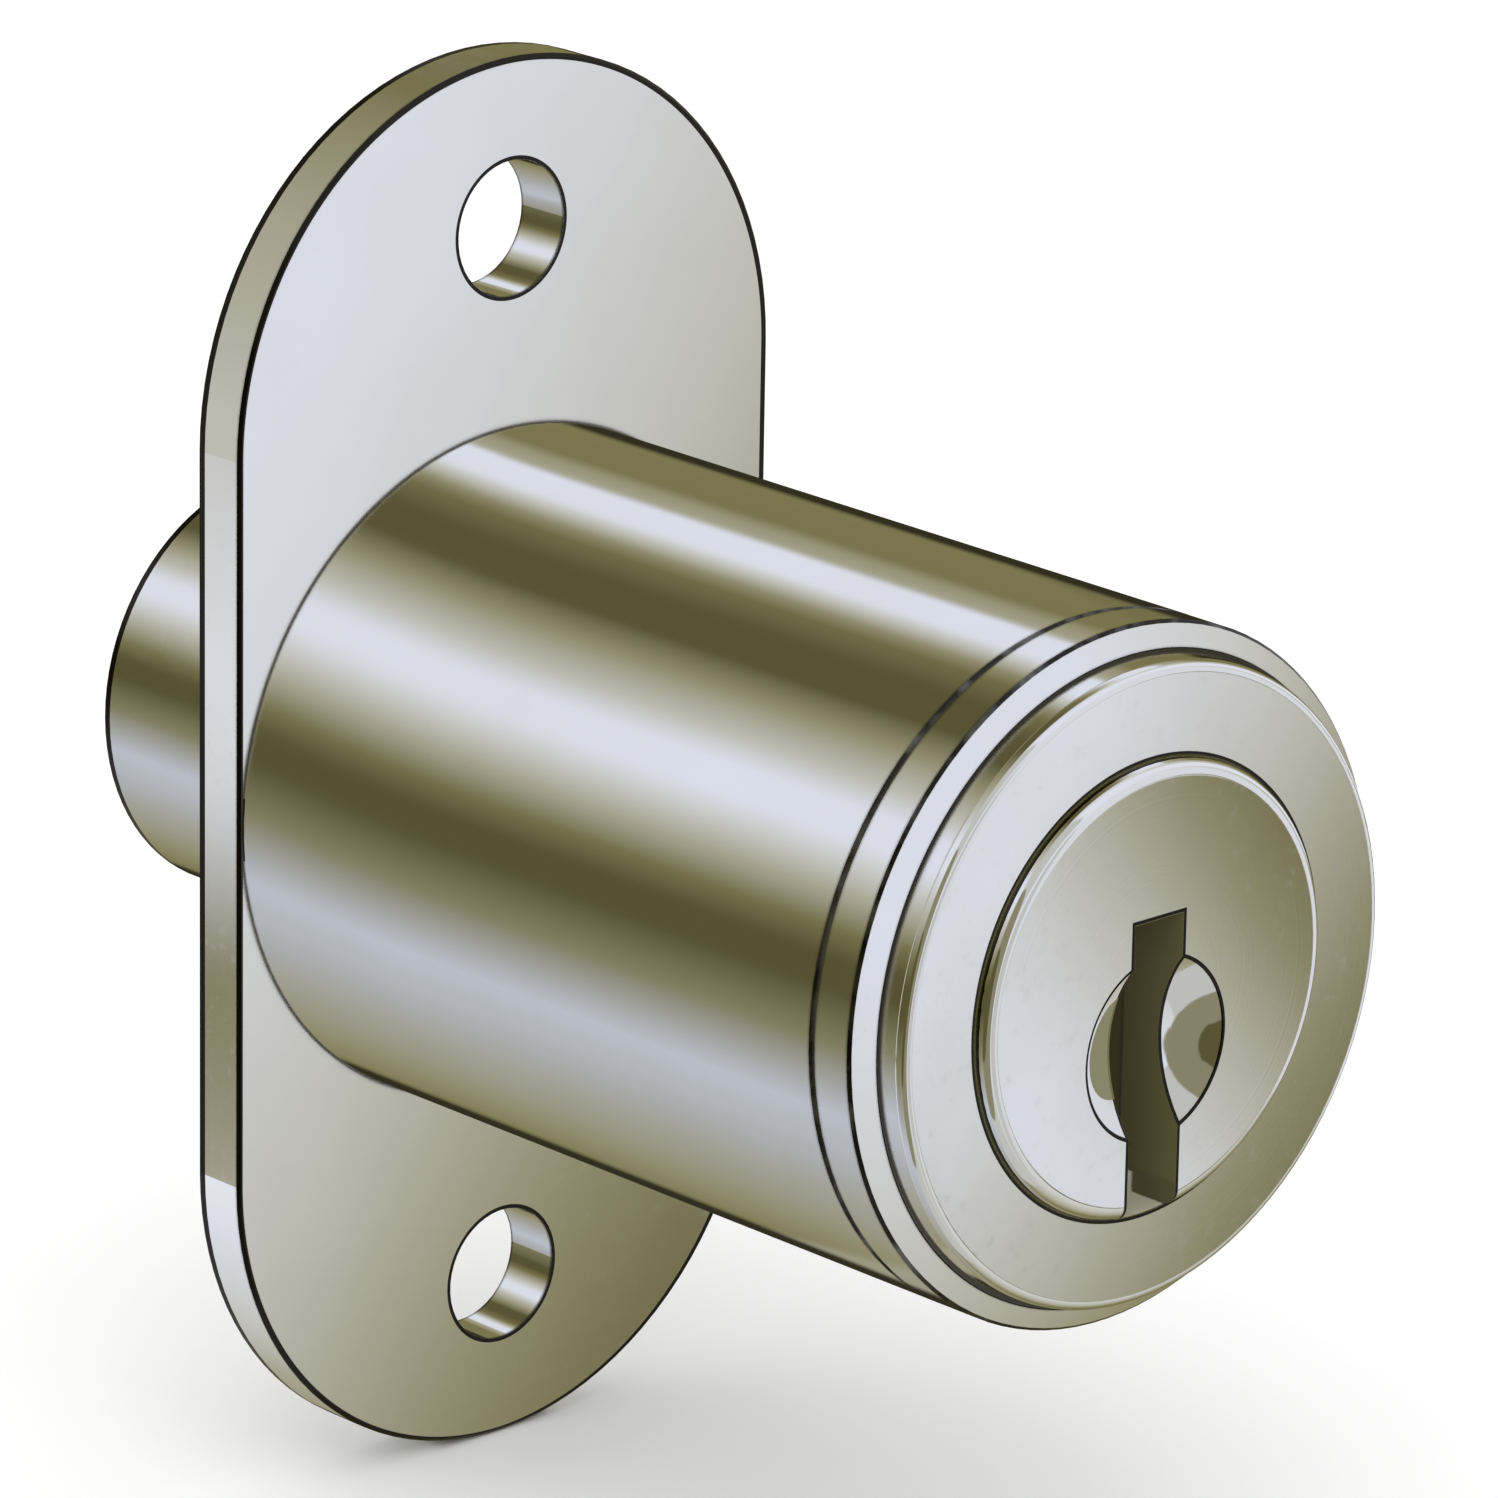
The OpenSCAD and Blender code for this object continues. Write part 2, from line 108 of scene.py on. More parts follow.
# %% Floor
FLOOR_HALF, FLOOR_GAP = 3.0, 0.02 * MM
floor_height = cad_box[0][2] - FLOOR_GAP
floor_corners = [(x * FLOOR_HALF, y * FLOOR_HALF, floor_height)
                 for x, y in ((-1, -1), (1, -1), (1, 1), (-1, 1))]
floor_mesh = bpy.data.meshes.new("floor")
floor_mesh.from_pydata(floor_corners, [], [(0, 1, 2, 3)])
floor = bpy.data.objects.new("floor", floor_mesh)
bpy.context.scene.collection.objects.link(floor)
floor.visible_glossy = False
print("floor at", round(floor_height / MM, 2), "mm")

# %% [markdown]
# Finishes are node trees, and they all need the same few moves: add a node, give each socket a value or a
# link, and ask for a number, a blend or a row of colours. A few small helpers do that, so that each finish
# reads as a recipe.


# %% Helpers for node trees
def plug(tree, value, socket):
    """Gives a socket a link, or a plain value."""
    if isinstance(value, bpy.types.NodeSocket):
        tree.links.new(value, socket)
    else:
        socket.default_value = value


def add(tree, kind, inputs=(), **settings):
    """Adds a node; inputs are values or links in the order of its sockets, with None to skip one."""
    made = tree.nodes.new("ShaderNode" + kind)
    for name, value in settings.items():
        setattr(made, name, value)
    for socket, value in zip(made.inputs, inputs):
        if value is not None:
            plug(tree, value, socket)
    return made


def calc(tree, operation, *values):
    """One step of arithmetic."""
    return add(tree, "Math", values, operation=operation).outputs[0]


def times(tree, a, b):
    """A product; of two masks, the part that both cover."""
    return calc(tree, "MULTIPLY", a, b)


def larger(tree, a, b):
    """The larger value; of two masks, the part that either covers."""
    return calc(tree, "MAXIMUM", a, b)


def squares(tree, a, b):
    """The sum of two squares, which is a squared distance."""
    return calc(tree, "MULTIPLY_ADD", a, a, times(tree, b, b))


def split(tree, vector):
    """The three parts of a vector."""
    return add(tree, "SeparateXYZ", (vector,)).outputs


def scaled(tree, vector, factor):
    """A vector made longer or shorter."""
    return add(tree, "VectorMath", (vector, None, None, factor), operation="SCALE").outputs[0]


def dot(tree, a, b):
    """How far two directions agree, from -1 to 1."""
    return add(tree, "VectorMath", (a, b), operation="DOT_PRODUCT").outputs["Value"]


def noise(tree, place, *settings):
    """Noise in space; settings are its scale, its detail and, where it isn't a half, its roughness."""
    return add(tree, "TexNoise", (place, None, *settings)).outputs["Fac"]


def remap(tree, value, low, high, out_low=0.0, out_high=1.0, smooth=False):
    """Stretches low..high to out_low..out_high, with soft ends if asked."""
    kind = "SMOOTHSTEP" if smooth else "LINEAR"
    return add(tree, "MapRange", (value, low, high, out_low, out_high), interpolation_type=kind).outputs[0]


def blend(tree, share, a, b):
    """Mixes two colours; share 1 is all b."""
    made = tree.nodes.new("ShaderNodeMix")
    made.data_type = "RGBA"
    for value, socket in ((share, made.inputs["Factor"]), (a, made.inputs["A"]), (b, made.inputs["B"])):
        # a mix node keeps hidden sockets of the same name for its other data types
        plug(tree, value, socket if socket.name == "Factor" else
             next(s for s in made.inputs if s.name == socket.name and s.type == "RGBA"))
    return next(s for s in made.outputs if s.type == "RGBA")


def ramp(tree, value, stops):
    """A row of colours: stops is a list of (place, colour), with places in the value's own unit."""
    low, high = stops[0][0], stops[-1][0]
    made = add(tree, "ValToRGB", (remap(tree, value, low, high),))
    row = made.color_ramp.elements
    while len(row) < len(stops):
        row.new(0.5)
    for mark, (place, colour) in zip(row, stops):
        mark.position, mark.color = (place - low) / (high - low), colour
    return made.outputs[0]


def tone(red, green, blue):
    """A colour as a picture gives it, 0 to 255, turned into the linear light that Blender works in."""
    # the curve is that of the sRGB standard
    return tuple((v / 12.92 if v <= 0.04045 else ((v + 0.055) / 1.055) ** 2.4)
                 for v in (red / 255, green / 255, blue / 255)) + (1.0,)


print("olive in linear light:", [round(v, 3) for v in tone(120, 115, 75)])

# %% [markdown]
# The floor is nearly white with a very faint mottle, like a sheet of matt card. A single noise makes the
# mottle.

# %% Floor finish
CARD_TONES = (0.95, 0.95, 0.95, 1), (0.97, 0.97, 0.97, 1)
CARD_ROUGH, CARD_SPECULAR = 0.9, 0.1
MOTTLE_SCALE, MOTTLE_DETAIL = 40.0, 3.0
floor_finish = bpy.data.materials.new("pale_card")
floor_finish.use_nodes = True
card = floor_finish.node_tree
card_shader = card.nodes["Principled BSDF"]
card_shader.inputs["Roughness"].default_value = CARD_ROUGH
card_shader.inputs["Specular IOR Level"].default_value = CARD_SPECULAR
mottle = noise(card, add(card, "TexCoord").outputs["Object"], MOTTLE_SCALE, MOTTLE_DETAIL)
plug(card, blend(card, mottle, *CARD_TONES), card_shader.inputs["Base Color"])
floor.data.materials.append(floor_finish)
print("mottle about", round(1000 / MOTTLE_SCALE), "mm wide")

# %% [markdown]
# Polished nickel has no colour of its own to speak of: what the eye sees is the room. The picture shows a
# room whose paint runs from olive black over khaki to a bluish white. One list of paints, sorted by
# lightness, is enough for all of it, because a place in the room then needs only one number.

# %% Paints of the room
# the share of red, green and blue that the plate throws back, between its two tones
NICKEL_SHINE = (0.86, 0.853, 0.83)
PAINTS = [(30, (32, 30, 22)), (86, (86, 81, 51)), (120, (120, 115, 76)), (147, (148, 143, 115)),
          (176, (176, 174, 159)), (200, (200, 201, 197)), (217, (217, 220, 230)), (240, (238, 240, 245))]
# a bluish paint's red, green and blue, counted from its lightness
BLUISH = (-1, 3, 13)


def paint(lightness, cool=0.0):
    """The light that nickel shows as this lightness, 30 to 240; cool turns it from khaki to bluish."""
    for (low, dark), (high, light) in zip(PAINTS, PAINTS[1:]):
        if lightness <= high:
            share = (lightness - low) / (high - low)
            warm = [d + (c - d) * share for d, c in zip(dark, light)]
            bluish = [lightness + shift for shift in BLUISH]
            mixed = tone(*[w + (b - w) * cool for w, b in zip(warm, bluish)])
            return tuple(v / shine for v, shine in zip(mixed, NICKEL_SHINE)) + (1.0,)


def paints(stops):
    """A row of (place, lightness) or (place, lightness, cool) as a row of (place, colour)."""
    return [(place, paint(*rest)) for place, *rest in stops]


print("khaki in linear light:", [round(v, 3) for v in paint(147)])

# %% [markdown]
# The world is drawn by direction, and the directions are sorted by the metal that shows them. A place on
# the metal shows what lies where its normal throws the line of sight, so half way between a direction and
# the way back to the camera stands the normal that shows it. How far this normal leans along the lock tells
# flat faces, cones, broken edges and cylinders apart. The angle round the lock tells the places round a
# cylinder apart.

# %% The room: directions
world = bpy.data.worlds.new("studio")
world.use_nodes = True
bpy.context.scene.world = world
room = world.node_tree
room.nodes.clear()
look = add(room, "TexCoord").outputs["Generated"]
across, along, height = split(room, look)
half_way = add(room, "VectorMath", (look, tuple(forward)), operation="SUBTRACT").outputs[0]
shown_by = add(room, "VectorMath", (half_way,), operation="NORMALIZE").outputs[0]
normal_x, normal_y, normal_z = split(room, shown_by)
# the angle round the lock, 0 to 360 degrees
angle = calc(room, "ARCTAN2", height, across)
part_turn = calc(room, "FRACT", calc(room, "MULTIPLY_ADD", angle, 0.5 / math.pi, 1.0))
turn = times(room, part_turn, 360.0)


def towards(direction):
    """How far a view direction leans towards a given one."""
    return dot(room, look, tuple(direction))


def patch(direction, degrees, soft):
    """1 inside a round patch of the room, 0 outside."""
    return remap(room, towards(direction), math.cos(math.radians(degrees + soft)),
                 math.cos(math.radians(degrees - soft)), smooth=True)


def band(value, low, high, soft):
    """1 where a value lies between two bounds."""
    return times(room, remap(room, value, low - soft, low + soft, smooth=True),
                 remap(room, value, high - soft, high + soft, 1.0, 0.0, smooth=True))


print("looking along", [round(v, 3) for v in forward])

# %% [markdown]
# Behind the lock hang long strip lights with dark gaps between them, all parallel to the lock. The barrel,
# the collar and the bolt show them as bands. The flange's edge leans a little, so it looks past them at a
# second, smoother row. Its straight side is flat and long: it sees only five degrees of that row, so the
# stops there lie close together. Straight behind the lock stands a black card, which draws a dark line
# along the outlines of the round forms, as photographers do with shiny things on white.

# %% The room: behind the lock
STRIPS = [(0, 120), (30, 120), (36, 148), (43, 162), (46, 217), (57, 217), (61, 197), (68, 140),
          (73, 112), (84, 88), (97, 88), (109, 146), (121, 185), (131, 217), (141, 217), (147, 204),
          (157, 171), (169, 117), (178, 86), (188, 86), (206, 130, 0.15), (217, 160, 0.55), (229, 186, 1),
          (241, 178, 0.8), (253, 168, 0.6), (265, 159, 0.3), (290, 141), (310, 122), (360, 120)]
EDGE_STRIPS = [(0, 112), (65, 117), (95, 144), (125, 162), (155, 173), (185, 187), (200.2, 187),
               (200.9, 205), (201.6, 224), (202.3, 224), (203.0, 207), (203.6, 176), (203.9, 120),
               (204.2, 60), (204.45, 35), (204.7, 35), (205.0, 50), (205.3, 140), (205.45, 228),
               (225, 215), (255, 196), (281, 165), (360, 112)]
# the bolt's mirror images point a little further along Y than the barrel's, and there the strips are
# turned by six degrees
BOLT_ZONE, BOLT_TURN = (0.715, 0.73), 6.0
# how far the normals of the flange's leaning edge point along Y
LEANING_EDGE, EDGE_SOFT = (-0.12, -0.047), 0.006
# the black card's half width and softness in degrees, and its lightness
BACK_CARD, BACK_CARD_SOFT, BACK_CARD_BLACK = 18, 3, 45
bolt_turn = calc(room, "MULTIPLY_ADD", remap(room, along, *BOLT_ZONE), BOLT_TURN, turn)
strips = ramp(room, bolt_turn, paints(STRIPS))
edge_strips = ramp(room, turn, paints(EDGE_STRIPS))
behind = blend(room, band(normal_y, *LEANING_EDGE, EDGE_SOFT), strips, edge_strips)
behind = blend(room, patch(forward, BACK_CARD, BACK_CARD_SOFT), behind, paint(BACK_CARD_BLACK))
print("strips:", len(STRIPS), "and", len(EDGE_STRIPS))

# %% [markdown]
# In front the room is pale and turns khaki towards the back and the bottom, which the collar's cone shows
# all round. Two pale rings light the rounded rims of plunger and core from above and from the right. At the
# left hang three round screens, one in front of the other: a wide grey one, an olive one and a small dark
# one. The left rims and the dimple's right wall show them.

# %% The room: in front of the lock
FRONT = [(-0.9, 217), (-0.757, 211), (-0.6, 206), (-0.45, 200), (-0.35, 194), (-0.265, 188), (-0.139, 179),
         (-0.093, 176), (0.061, 163), (0.189, 147), (0.292, 133), (0.4, 120)]
FRONT_LEAN = -0.35
ahead = ramp(room, calc(room, "MULTIPLY_ADD", height, FRONT_LEAN, along), paints(FRONT))

# how much right counts beside up, and where on a rim each light fades in
RIGHT_SHARE, UPPER_RIGHT_FROM, TOP_FROM = 0.8, (-0.04, 0.04), (0.1, 0.25)
upper_right = remap(room, calc(room, "MULTIPLY_ADD", normal_x, RIGHT_SHARE, normal_z), *UPPER_RIGHT_FROM,
                    smooth=True)
top = remap(room, normal_z, *TOP_FROM, smooth=True)
# each light: the leans of the normals that show it, its part of the rim, its lightness
RIM_LIGHTS, RIM_SOFT = [((-0.9965, -0.905), upper_right, 212), ((-0.85, -0.7), top, 220)], 0.002
for leans, part, lightness in RIM_LIGHTS:
    ahead = blend(room, times(room, band(normal_y, *leans, RIM_SOFT), part), ahead, paint(lightness))

LEFT_SCREEN = Vector((-0.85, -0.52, -0.10)).normalized()
# the leans of the collar's cone, which doesn't show the wide screen
COLLAR_CONE = (-0.899, -0.856)
off_cone = calc(room, "SUBTRACT", 1.0, band(normal_y, *COLLAR_CONE, RIM_SOFT))
# each screen: its half width and softness in degrees, the part that shows it, its lightness and coolness
SCREENS = [(78, 1, off_cone, 188, 0.3), (45.5, 0.7, 1.0, 133, 0.2), (22, 0.7, 1.0, 88, 0.0)]
for degrees, soft, part, lightness, cool in SCREENS:
    screen = times(room, patch(LEFT_SCREEN, degrees, soft), part)
    ahead = blend(room, screen, ahead, paint(lightness, cool))
print("front room:", len(FRONT), "paints,", len(RIM_LIGHTS), "rim lights,", len(SCREENS), "screens")

# %% [markdown]
# The flat faces look towards one small patch of the room in front, so they show a card that stands there.
# It has two panels side by side. The left one is seen in the flange and the right one in the lock's front,
# and each turns from pale to khaki towards the lower right. Directions on the card are measured from its
# own middle, along its own sides, which are the camera's sides mirrored in the flange.


# %% The card in front
def mirrored(v):
    """A direction as the flange, which faces -Y, throws it back."""
    return Vector((v.x, -v.y, v.z))


facing = towards(mirrored(forward))
card_x = calc(room, "DIVIDE", towards(mirrored(right)), facing)
card_y = calc(room, "DIVIDE", towards(mirrored(up)), facing)
SLANT = -0.5
slant = calc(room, "MULTIPLY_ADD", card_y, SLANT, card_x)
LEFT_PANEL = [(-0.068, 217), (-0.053, 211), (-0.038, 202), (-0.028, 194), (-0.017, 181), (-0.010, 165),
              (0.001, 145), (0.009, 129), (0.0165, 114), (0.022, 106)]
RIGHT_PANEL = [(0.018, 218), (0.028, 217), (0.036, 214), (0.0435, 205), (0.056, 184), (0.065, 158),
               (0.073, 131), (0.082, 110)]
left_panel = ramp(room, slant, paints(LEFT_PANEL))
right_panel = ramp(room, slant, paints(RIGHT_PANEL))
# the joint between the panels bends round the lock's front, so that each shows only one of them
WAIST, BEND, JOINT = -0.0205, 9.0, (0.003, 0.0045)
from_waist = calc(room, "SUBTRACT", card_y, WAIST)
joint = calc(room, "SUBTRACT", card_x, times(room, times(room, from_waist, from_waist), BEND))
panels = blend(room, remap(room, joint, *JOINT), left_panel, right_panel)
CARD_ENDS, IN_FRONT = (0.1, 0.13), (0.5, 0.6)


def inside(from_middle):
    """1 on the card, 0 beyond its ends."""
    return remap(room, calc(room, "ABSOLUTE", from_middle), *CARD_ENDS, 1.0, 0.0, smooth=True)


on_card = times(room, times(room, inside(card_x), inside(card_y)), remap(room, facing, *IN_FRONT))
ahead = blend(room, on_card, ahead, panels)
print("panels:", len(LEFT_PANEL), "and", len(RIGHT_PANEL), "paints")

# %% [markdown]
# Only polished metal sees the painted room. The camera and the matt floor see an even white sky instead, so
# the background stays plain. The sky isn't sampled as a lamp, because then it would mix the two.

# %% The room, joined
# the lean of the normals at which the room in front gives way to the one behind
FRONT_ENDS, WHITE = (-0.62, -0.56), (1.0, 1.0, 1.0, 1)
studio_light = blend(room, remap(room, normal_y, *FRONT_ENDS, smooth=True), ahead, behind)
seen_by_metal = add(room, "LightPath").outputs["Is Glossy Ray"]
sky = blend(room, seen_by_metal, WHITE, studio_light)
backdrop = add(room, "Background", (sky, 1.0)).outputs[0]
room.links.new(backdrop, add(room, "OutputWorld").inputs["Surface"])
world.cycles.sampling_method = "NONE"
bpy.context.scene.view_settings.view_transform = "Standard"
print("nodes in the room:", len(room.nodes))

# %% [markdown]
# One large soft lamp from the upper left gives the lock a light shadow on the floor, so that it stands
# instead of floating. It isn't seen in the metal, where the room already has its lights.

# %% Soft lamp
LAMP_PLACE, LAMP_SIZE, LAMP_WATTS = Vector((-0.25, -0.25, 0.5)), 0.5, 1.2
lamp = bpy.data.objects.new("soft_lamp", bpy.data.lights.new("soft_lamp", "AREA"))
bpy.context.scene.collection.objects.link(lamp)
lamp.data.size, lamp.data.energy = LAMP_SIZE, LAMP_WATTS
lamp.location = LAMP_PLACE
lamp.rotation_euler = (-LAMP_PLACE).to_track_quat("-Z", "Y").to_euler()
lamp.visible_glossy = False
print("lamp", round(LAMP_PLACE.length, 2), "m away")

# %% [markdown]
# A shared effect is a node group with its own inputs, built once and placed in each finish with other
# values. The first is the trace of turning: a lathe tool leaves fine grooves that run round the axis. On a
# flat face they are rings, and on a cylinder they are hoops. Radius plus a part of the place along Y counts
# them on both.


# %% Group: turned grooves
def new_group(name, inputs, outputs, gives="NodeSocketFloat"):
    """An empty group with its two ends; inputs is a list of (name, default) and outputs of names."""
    tree = bpy.data.node_groups.new(name, "ShaderNodeTree")
    for label, default in inputs:
        kind = "NodeSocketVector" if isinstance(default, tuple) else "NodeSocketFloat"
        tree.interface.new_socket(label, in_out="INPUT", socket_type=kind).default_value = default
    for label in outputs:
        tree.interface.new_socket(label, in_out="OUTPUT", socket_type=gives)
    print(name, "takes", [label for label, default in inputs])
    return tree, tree.nodes.new("NodeGroupInput").outputs, tree.nodes.new("NodeGroupOutput").inputs


def place_group(tree, group, **values):
    """Puts a group in a finish; underscores in the names stand for spaces."""
    made = tree.nodes.new("ShaderNodeGroup")
    made.node_tree = group
    for name, value in values.items():
        plug(tree, value, made.inputs[name.replace("_", " ")])
    return made.outputs


def streaks(tree, path, detail):
    """Noise along a line."""
    return add(tree, "TexNoise", (None, path, 1.0, detail), noise_dimensions="1D").outputs["Fac"]


MICRON = MM / 1000
# how much the place along Y counts beside the radius, and how slowly the depth of the grooves changes
ALONG_SHARE, SLOW_SHARE = 0.7, 0.13
DEPTH_SPAN, SHALLOWEST = (0.35, 0.7), 0.4
turned_grooves, gin, gout = new_group(
    "Turned grooves", [("Place", (0, 0, 0)), ("Pitch", 0.12 * MM), ("Depth", 0.3 * MICRON)], ["Height"])
x, y, z = split(turned_grooves, gin["Place"])
radius = calc(turned_grooves, "SQRT", squares(turned_grooves, x, z))
way = calc(turned_grooves, "MULTIPLY_ADD", y, ALONG_SHARE, radius)
path = calc(turned_grooves, "DIVIDE", way, gin["Pitch"])
slow = streaks(turned_grooves, times(turned_grooves, path, SLOW_SHARE), 1.0)
cut = times(turned_grooves, streaks(turned_grooves, path, 2.0),
            remap(turned_grooves, slow, *DEPTH_SPAN, SHALLOWEST, 1.0))
plug(turned_grooves, times(turned_grooves, cut, gin["Depth"]), gout["Height"])

# %% [markdown]
# The second is what hands and a buffing wheel leave on plating: cloudy smudges that change the gloss, a
# slow waviness that makes reflections swim a little, and a few hairlines. Three noises of different size
# are enough.

# %% Group: polish
CLOUD_NOISE, CLOUD_SPAN = (1.0, 4.0, 0.6), (0.3, 0.7)
WAVE_NOISE = (1.4, 1.0)
HAIR_NOISE, HAIR_SPAN = (1800.0, 2.0, 0.7), (0.58, 0.72)
polish, gin, gout = new_group(
    "Polish",
    [("Place", (0, 0, 0)), ("Cloud size", 6 * MM), ("Wave height", 0.8 * MICRON), ("Stretch", (1, 1, 1))],
    ["Clouds", "Hairlines", "Height"])
cloud_place = scaled(polish, gin["Place"], calc(polish, "DIVIDE", 1.0, gin["Cloud size"]))
plug(polish, remap(polish, noise(polish, cloud_place, *CLOUD_NOISE), *CLOUD_SPAN), gout["Clouds"])
plug(polish, times(polish, noise(polish, cloud_place, *WAVE_NOISE), gin["Wave height"]), gout["Height"])
drawn_out = add(polish, "VectorMath", (gin["Place"], gin["Stretch"]), operation="MULTIPLY").outputs[0]
plug(polish, remap(polish, noise(polish, drawn_out, *HAIR_NOISE), *HAIR_SPAN), gout["Hairlines"])

# %% [markdown]
# The third finds edges. A bevel node gives the normal that a rounded edge would have, and where that
# differs from the solid's own there is an edge. The edges that are broken by a small cone of 45 degrees are
# found by that angle. Handling wears the thin plate through there, and the bare metal under it goes dark.

# %% Group: edge wear
BEVEL_SAMPLES, EDGE_SPAN, CONE_SPAN = 6, (0.99, 0.94), (0.008, 0.016)
WEAR_NOISE, WEAR_SPAN, LEAST_WORN = (1.0, 3.0), (0.35, 0.55), 0.85
edge_wear, gin, gout = new_group(
    "Edge wear", [("Width", 0.2 * MM), ("Cones", 1.0), ("Breakup size", 1 * MM), ("Place", (0, 0, 0))],
    ["Edge"])
rounded = add(edge_wear, "Bevel", (gin["Width"],), samples=BEVEL_SAMPLES).outputs[0]
own_normal = add(edge_wear, "NewGeometry").outputs["Normal"]
lean = calc(edge_wear, "ABSOLUTE", split(edge_wear, own_normal)["Y"])
off_45 = calc(edge_wear, "ABSOLUTE", calc(edge_wear, "SUBTRACT", lean, math.sqrt(0.5)))
on_edge = remap(edge_wear, dot(edge_wear, rounded, own_normal), *EDGE_SPAN, smooth=True)
on_cone = times(edge_wear, remap(edge_wear, off_45, *CONE_SPAN, 1.0, 0.0), gin["Cones"])
wear_place = scaled(edge_wear, gin["Place"], calc(edge_wear, "DIVIDE", 1.0, gin["Breakup size"]))
patchy = remap(edge_wear, noise(edge_wear, wear_place, *WEAR_NOISE), *WEAR_SPAN, LEAST_WORN, 1.0)
plug(edge_wear, times(edge_wear, larger(edge_wear, on_edge, on_cone), patchy), gout["Edge"])

# %% [markdown]
# The fourth draws a dark line around a hole or a gap, between two radii, on faces that look forwards. At
# the gaps between pieces the line is painted shade, with grease. Its height is an input, because the screw
# holes and the dimple lie above or below the axis.

# %% Group: ring line
FORWARD_FACES = -0.02
ring_line, gin, gout = new_group(
    "Ring line", [("Place", (0, 0, 0)), ("Height", 0.0), ("Inner", 2.0 * MM), ("Outer", 2.2 * MM)],
    ["Line"])
x, _, z = split(ring_line, gin["Place"])
radius = calc(ring_line, "SQRT", squares(ring_line, x, calc(ring_line, "SUBTRACT", z, gin["Height"])))
in_ring = times(ring_line, calc(ring_line, "GREATER_THAN", radius, gin["Inner"]),
                calc(ring_line, "LESS_THAN", radius, gin["Outer"]))
lean = split(ring_line, add(ring_line, "NewGeometry").outputs["Normal"])["Y"]
plug(ring_line, times(ring_line, in_ring, calc(ring_line, "LESS_THAN", lean, FORWARD_FACES)), gout["Line"])

# %% [markdown]
# The fifth finds corners that face each other, such as the barrel's foot and the seam, and paints shade
# into them: painted shade, with grease and dust. It asks how much of the open room a place sees within a
# short reach.

# %% Group: crevice shade and grease
OCCLUSION_SAMPLES, OPEN_SPAN = 6, (0.45, 0.75)
crevice_shade_and_grease, gin, gout = new_group("Crevice shade and grease", [("Reach", 1.2 * MM)], ["Grease"])
occlusion = add(crevice_shade_and_grease, "AmbientOcclusion", (None, gin["Reach"]), samples=OCCLUSION_SAMPLES)
openness = occlusion.outputs["AO"]
plug(crevice_shade_and_grease, remap(crevice_shade_and_grease, openness, *OPEN_SPAN, 1.0, 0.0, smooth=True), gout["Grease"])

# %% [markdown]
# The last gives the plunger and the core's disc a true round edge. The solids' edges are built of small
# flats, which chip the reflections. The group works out the normal of a turned disc from the place alone:
# flat in front, a quarter circle at the edge, straight on the side. Where the solid faces elsewhere, as in
# a bore, its own normal stays.

# %% Group: turned disc
# a direction needs some length, and a face belongs to the round edge where the two normals about agree
LEAST_LENGTH, ALIKE = 1e-7, 0.85
turned_disc, gin, gout = new_group(
    "Turned disc",
    [("Place", (0, 0, 0)), ("Radius", 10 * MM), ("Front", -28.8 * MM), ("Rounding", 0.35 * MM)],
    ["Normal"], "NodeSocketVector")
x, y, z = split(turned_disc, gin["Place"])
radius = calc(turned_disc, "SQRT", squares(turned_disc, x, z))
inner_edge = calc(turned_disc, "SUBTRACT", gin["Radius"], gin["Rounding"])
outwards = larger(turned_disc, calc(turned_disc, "SUBTRACT", radius, inner_edge), LEAST_LENGTH)
back_edge = calc(turned_disc, "ADD", gin["Front"], gin["Rounding"])
forwards = calc(turned_disc, "MINIMUM", calc(turned_disc, "SUBTRACT", y, back_edge), 0.0)
share = calc(turned_disc, "DIVIDE", outwards, radius)
turned = add(turned_disc, "CombineXYZ", (times(turned_disc, x, share), forwards,
                                         times(turned_disc, z, share))).outputs[0]
turned = add(turned_disc, "VectorTransform", (turned,), vector_type="NORMAL", convert_from="OBJECT",
             convert_to="WORLD").outputs[0]
turned = add(turned_disc, "VectorMath", (turned,), operation="NORMALIZE").outputs[0]
own_normal = add(turned_disc, "NewGeometry").outputs["Normal"]
alike = calc(turned_disc, "GREATER_THAN", dot(turned_disc, turned, own_normal), ALIKE)
on_rounding = times(turned_disc, alike, calc(turned_disc, "GREATER_THAN", radius, inner_edge))
# this node's fifth and sixth sockets are its two vectors
chosen = add(turned_disc, "Mix", (on_rounding, None, None, None, own_normal, turned), data_type="VECTOR")
plug(turned_disc, chosen.outputs[1], gout["Normal"])

# %% [markdown]
# All metals here share one recipe: a metallic shader whose colour drifts between two close tones, whose
# gloss comes from clouds, hairlines, worn edges and grease, and whose surface has grooves and waves. Faces
# that look backwards weren't buffed and are satin. The shader itself stays in the material.

# %% A metal finish
# the dark of worn edges and of the ring lines, which at gaps are painted shade, and the dark of the painted
# shade in crevices, with grease
EDGE_WIDTH, WORN_EDGE_AND_GAP_SHADE, SHADE_AND_GREASE_DARK = 0.2 * MM, (0.03, 0.028, 0.024, 1), (0.05, 0.042, 0.025, 1)
# how much rougher worn edges, grease and unbuffed faces are, and how far these look backwards
WORN, GREASY, UNBUFFED, BACKWARDS = 0.1, 0.5, 0.3, 0.9


def face_lean(tree):
    """How far the solid's own face looks backwards, along +Y."""
    return split(tree, add(tree, "NewGeometry").outputs["True Normal"])["Y"]


